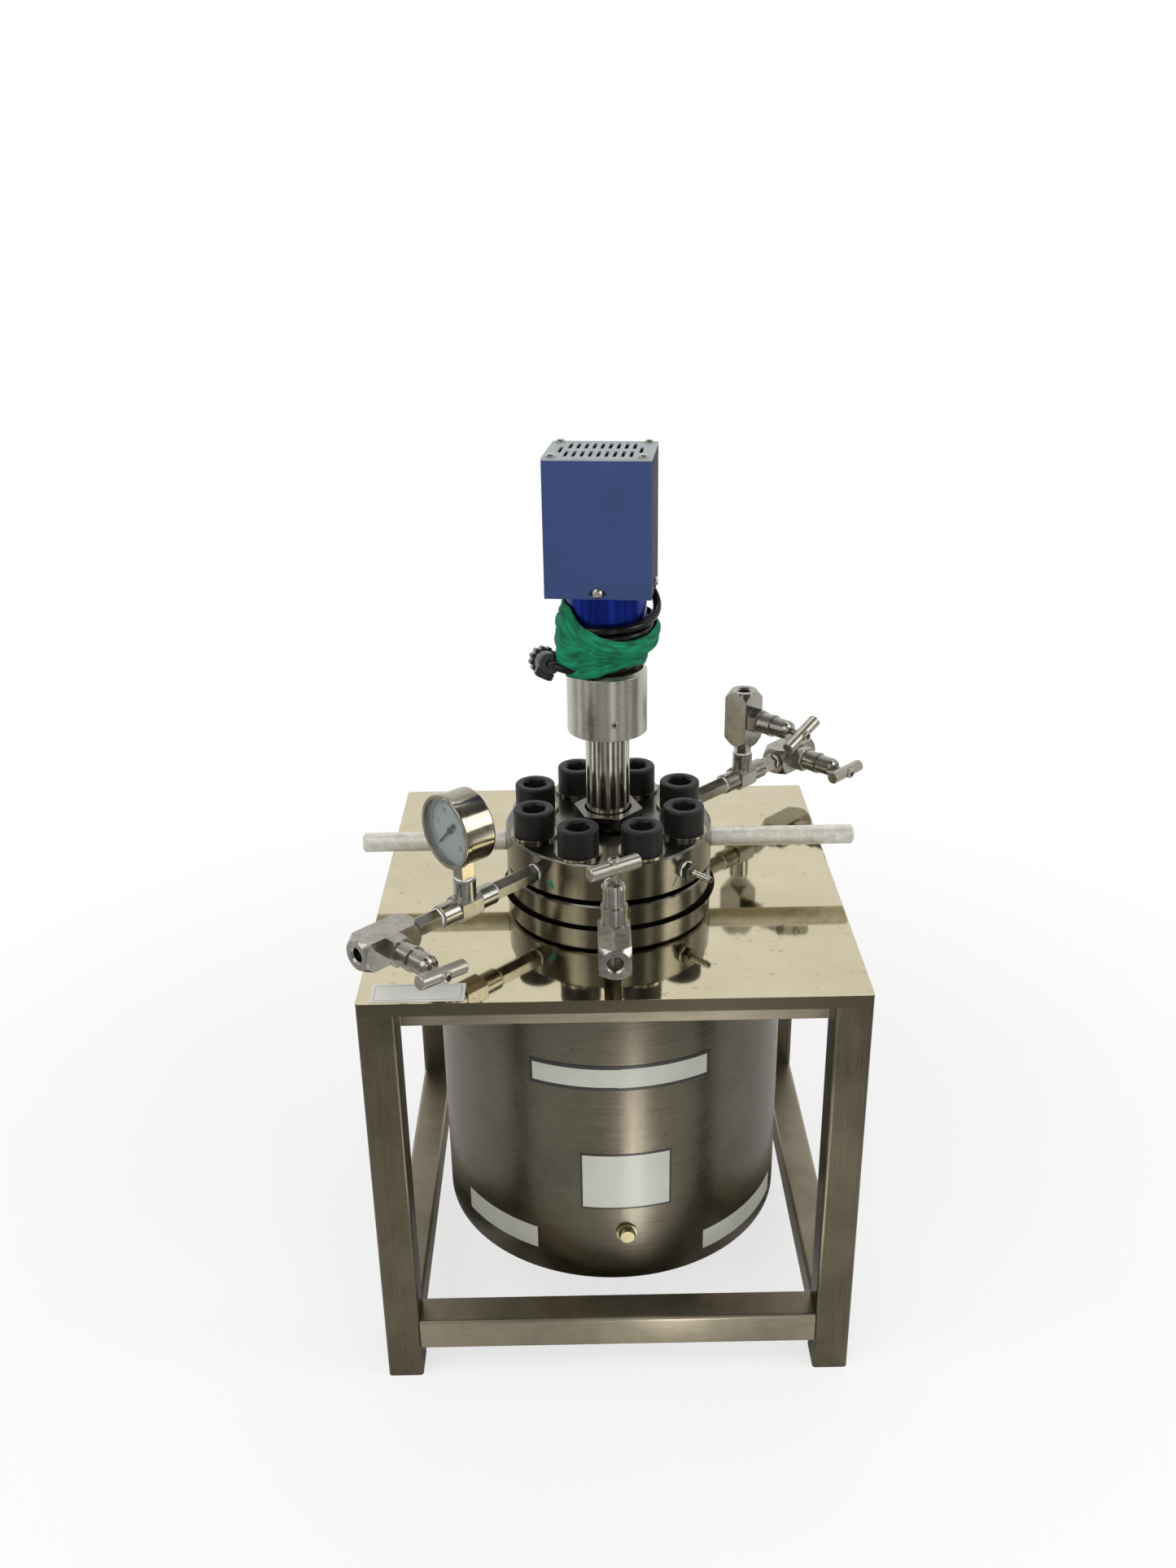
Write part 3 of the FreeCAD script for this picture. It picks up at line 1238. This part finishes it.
def grip(name):
    """The T bar with the screw that holds it, in a milled flat. Its pin hole turns on the stem."""
    sideways = FreeCAD.Rotation(FreeCAD.Vector(0, 1, 0), 90)
    rise = s.grip_rise
    rod = turned(f"Rod_{name}", [
        (0, -s.grip_long / 2), (s.grip_radius, -s.grip_long / 2), (s.grip_radius, s.grip_long / 2),
        (0, s.grip_long / 2)])
    for end in (-s.grip_long / 2, s.grip_long / 2):
        soften(rod, "Chamfer", f"RodEnd_{name}{int(number_of(end))}", ring_at(s.grip_radius, end),
               s.grip_chamfer)
    place(rod, (0, 0, rise), sideways)
    seat = rise + s.grip_radius - s.grip_flat
    recess = cylinder(f"RodFlat_{name}", s.grip_flat_radius, s.grip_flat + 1, (0, 0, seat))
    bore_low = rise - s.grip_radius - 1
    pin_hole = cylinder(f"RodBore_{name}", s.pin_radius + s.pin_play, s.pin_in + 1 + 0.3,
                        (0, 0, bore_low))
    bar = cut(f"Grip_{name}", rod, recess, pin_hole)
    screw = hexagon(f"GripScrew_{name}", s.grip_screw_flats, s.grip_screw, (0, 0, seat))
    return group(f"Handle_{name}_parts", bar, screw)


def branches():
    """What is screwed into the lid's side ports, from the lid outwards."""
    start = {azimuth: along((0, 0, port_height), heading(azimuth), s.lid_radius) for azimuth in PORTS}
    half = s.bar_long / 2
    left, right, front = heading(LEFT_PORT), heading(RIGHT_PORT), heading(FRONT_PORT)
    nipples = [nipple("NippleLeft", start[LEFT_PORT], left, s.left_reach),
               nipple("NippleRight", start[RIGHT_PORT], right, s.right_reach),
               nipple("NippleFront", start[FRONT_PORT], front, s.front_reach)]
    node("long_nipples", group("LongNipples", *nipples))
    left_tee = along(start[LEFT_PORT], left, s.left_reach + s.tee_half)
    right_tee = along(start[RIGHT_PORT], right, s.right_reach + s.tee_half)
    tees = [tee("TeeLeft", left_tee, left, UP), tee("TeeRight", right_tee, right, UP)]
    node("branch_tees", group("BranchTees", *tees))
    left_end = along(left_tee, left, s.tee_half)
    right_end = along(right_tee, right, s.tee_half)
    right_up = along(right_tee, UP, s.tee_up)
    links = [nipple("LinkLeft", left_end, left, s.left_link),
             nipple("LinkRight", right_end, right, s.right_link),
             nipple("LinkUp", right_up, UP, s.up_link)]
    node("short_nipples", group("ShortNipples", *links))
    places = [
        valve("left", along(left_end, left, s.left_link + half), left, BONNET_WAY, BAR_WAYS["left"]),
        valve("front", along(start[FRONT_PORT], front, s.front_reach + half), front, UP,
              BAR_WAYS["front"]),
        valve("upper", along(right_up, UP, s.up_link + half), UP, BONNET_WAY, BAR_WAYS["upper"]),
        valve("rear", along(right_end, right, s.right_link + half), right, BONNET_WAY,
              BAR_WAYS["rear"])]
    node("valve_bonnets", copies("ValveBonnets", bonnet_piece(), places))
    node("gland_nuts", copies("GlandNuts", gland_piece(), places))
    gauge(along(left_tee, UP, s.tee_up))
    hose_barb(start[BARB_PORT])


def gauge(foot):
    """The pressure gauge on the left tee. Its own Z is the way its face looks."""
    way = heading(s.gauge_turn.number)
    turn = facing(way, UP)
    middle = along(foot, UP, s.gauge_rise)
    bezel_low = s.gauge_front - s.bezel_deep
    glass_top = s.gauge_front - 1
    glass_low = glass_top - s.glass_thick
    window = s.bezel_radius - s.bezel_lip
    inner = s.gauge_radius - s.gauge_wall
    floor = -s.gauge_back + s.gauge_wall
    shell = turned("GaugeShell", [
        (0, -s.gauge_back), (s.gauge_radius, -s.gauge_back), (s.gauge_radius, bezel_low),
        (s.bezel_radius, bezel_low), (s.bezel_radius, s.gauge_front), (window - 1, s.gauge_front),
        (window - 1, glass_top), (inner, glass_top), (inner, floor), (s.arbor_radius * 4, floor),
        (s.arbor_radius * 4, floor + 6), (s.arbor_radius, floor + 6),
        (s.arbor_radius, glass_low - 1), (0, glass_low - 1)])
    soften(shell, "Fillet", "GaugeBack", ring_at(s.gauge_radius, -s.gauge_back), 2)
    soften(shell, "Fillet", "GaugeBezel", ring_at(s.bezel_radius, s.gauge_front), 1.2)
    stem_long = s.gauge_rise - s.tape_gap - s.gauge_radius + 2
    stem_x = -s.gauge_rise + s.tape_gap
    stem = block("GaugeShank", stem_long, s.gauge_shank, s.gauge_shank,
                 (stem_x + stem_long / 2, 0, -s.gauge_shank / 2))
    thread_start = (-s.gauge_rise - s.pipe_grip, 0, 0)
    sideways = FreeCAD.Rotation(FreeCAD.Vector(0, 1, 0), 90)
    thread = cylinder("GaugeThread", s.pipe_radius, s.pipe_grip + s.tape_gap + 1, thread_start,
                      sideways)
    node("gauge_case", place(fuse("GaugeCase", shell, stem, thread), middle, turn))

    dial_top = s.gauge_front - s.dial_sunk
    dial = turned("GaugeDial", [(s.arbor_radius * 1.8, dial_top - s.dial_thick),
                                (inner - s.slip_gap, dial_top - s.dial_thick),
                                (inner - s.slip_gap, dial_top), (s.arbor_radius * 1.8, dial_top)])
    node("gauge_dial", place(dial, middle, turn))
    glass = cylinder("GaugeGlass", inner - s.slip_gap, s.glass_thick, (0, 0, glass_low))
    node("gauge_glass", place(fuse("GaugeLens", glass,
                                   cylinder("GaugeGlassCore", s.arbor_radius, s.glass_thick,
                                            (0, 0, glass_low))), middle, turn))

    pointer_low = dial_top + 1
    hub = cylinder("PointerHub", s.pointer_hub, s.pointer_thick, (0, 0, pointer_low))
    blade = block("PointerBlade", s.pointer_long, s.pointer_wide, s.pointer_thick,
                  (s.pointer_long / 2, 0, pointer_low))
    tail = block("PointerTail", s.pointer_tail, 2 * s.pointer_wide, s.pointer_thick,
                 (-s.pointer_tail / 2, 0, pointer_low))
    eye = cylinder("PointerEye", s.arbor_radius + s.spindle_play, s.pointer_thick, (0, 0, pointer_low))
    hand = cut("Pointer", fuse("PointerBody", hub, blade, tail), eye)
    start_turn = turn.multiply(FreeCAD.Rotation(UP, pointer_angle()))
    node("gauge_pointer", place(hand, middle, start_turn))


def pointer_angle():
    """The pointer's turn on the dial at rest, from the upward X towards the viewer's left."""
    return s.pointer_start.number - 90


def hose_barb(start):
    """A barbed hose tail in a hexagon adapter."""
    way = heading(BARB_PORT)
    turn = facing(way, UP)
    hex_low = s.tape_gap
    hex_high = hex_low + s.barb_hex
    corners = [(s.barb_bore, -s.pipe_grip), (s.pipe_radius, -s.pipe_grip),
               (s.pipe_radius, hex_high), (s.barb_radius, hex_high)]
    low = hex_high + 1.5
    for number in range(int(s.barb_count.number)):
        ridge = low + s.barb_pitch * number
        corners += [(s.barb_radius, ridge), (s.barb_radius + s.barb_ridge, ridge),
                    (s.barb_radius, ridge + s.barb_pitch * 0.8)]
    top = low + s.barb_pitch * s.barb_count
    corners += [(s.barb_radius, top), (s.barb_bore, top)]
    spigot = turned("BarbSpigot", corners)
    hexes = cut("BarbHexRing", hexagon("BarbHex", s.nipple_flats, s.barb_hex, (0, 0, hex_low)),
                cylinder("BarbHexBore", s.barb_bore, s.barb_hex, (0, 0, hex_low)))
    node("hose_barb", place(fuse("HoseBarb", spigot, hexes), start, turn))


stand()
heater()
vessel()
horn_column()
vented_box()
cable()
branches()
doc.recompute()

faults = []
for thing in doc.Objects:
    if "Invalid" in thing.State or "Error" in thing.State:
        faults.append(f"{thing.Name} failed: {thing.State}")
for name, piece in nodes.items():
    if piece.Shape.isNull() or not piece.Shape.isValid():
        faults.append(f"{name} has no valid shape")
if faults:
    sys.exit("\n".join(faults))

os.makedirs("parts", exist_ok=True)
for name, piece in nodes.items():
    piece.Shape.exportStep(f"parts/{name}.step")
print(f"{len(nodes)} nodes")
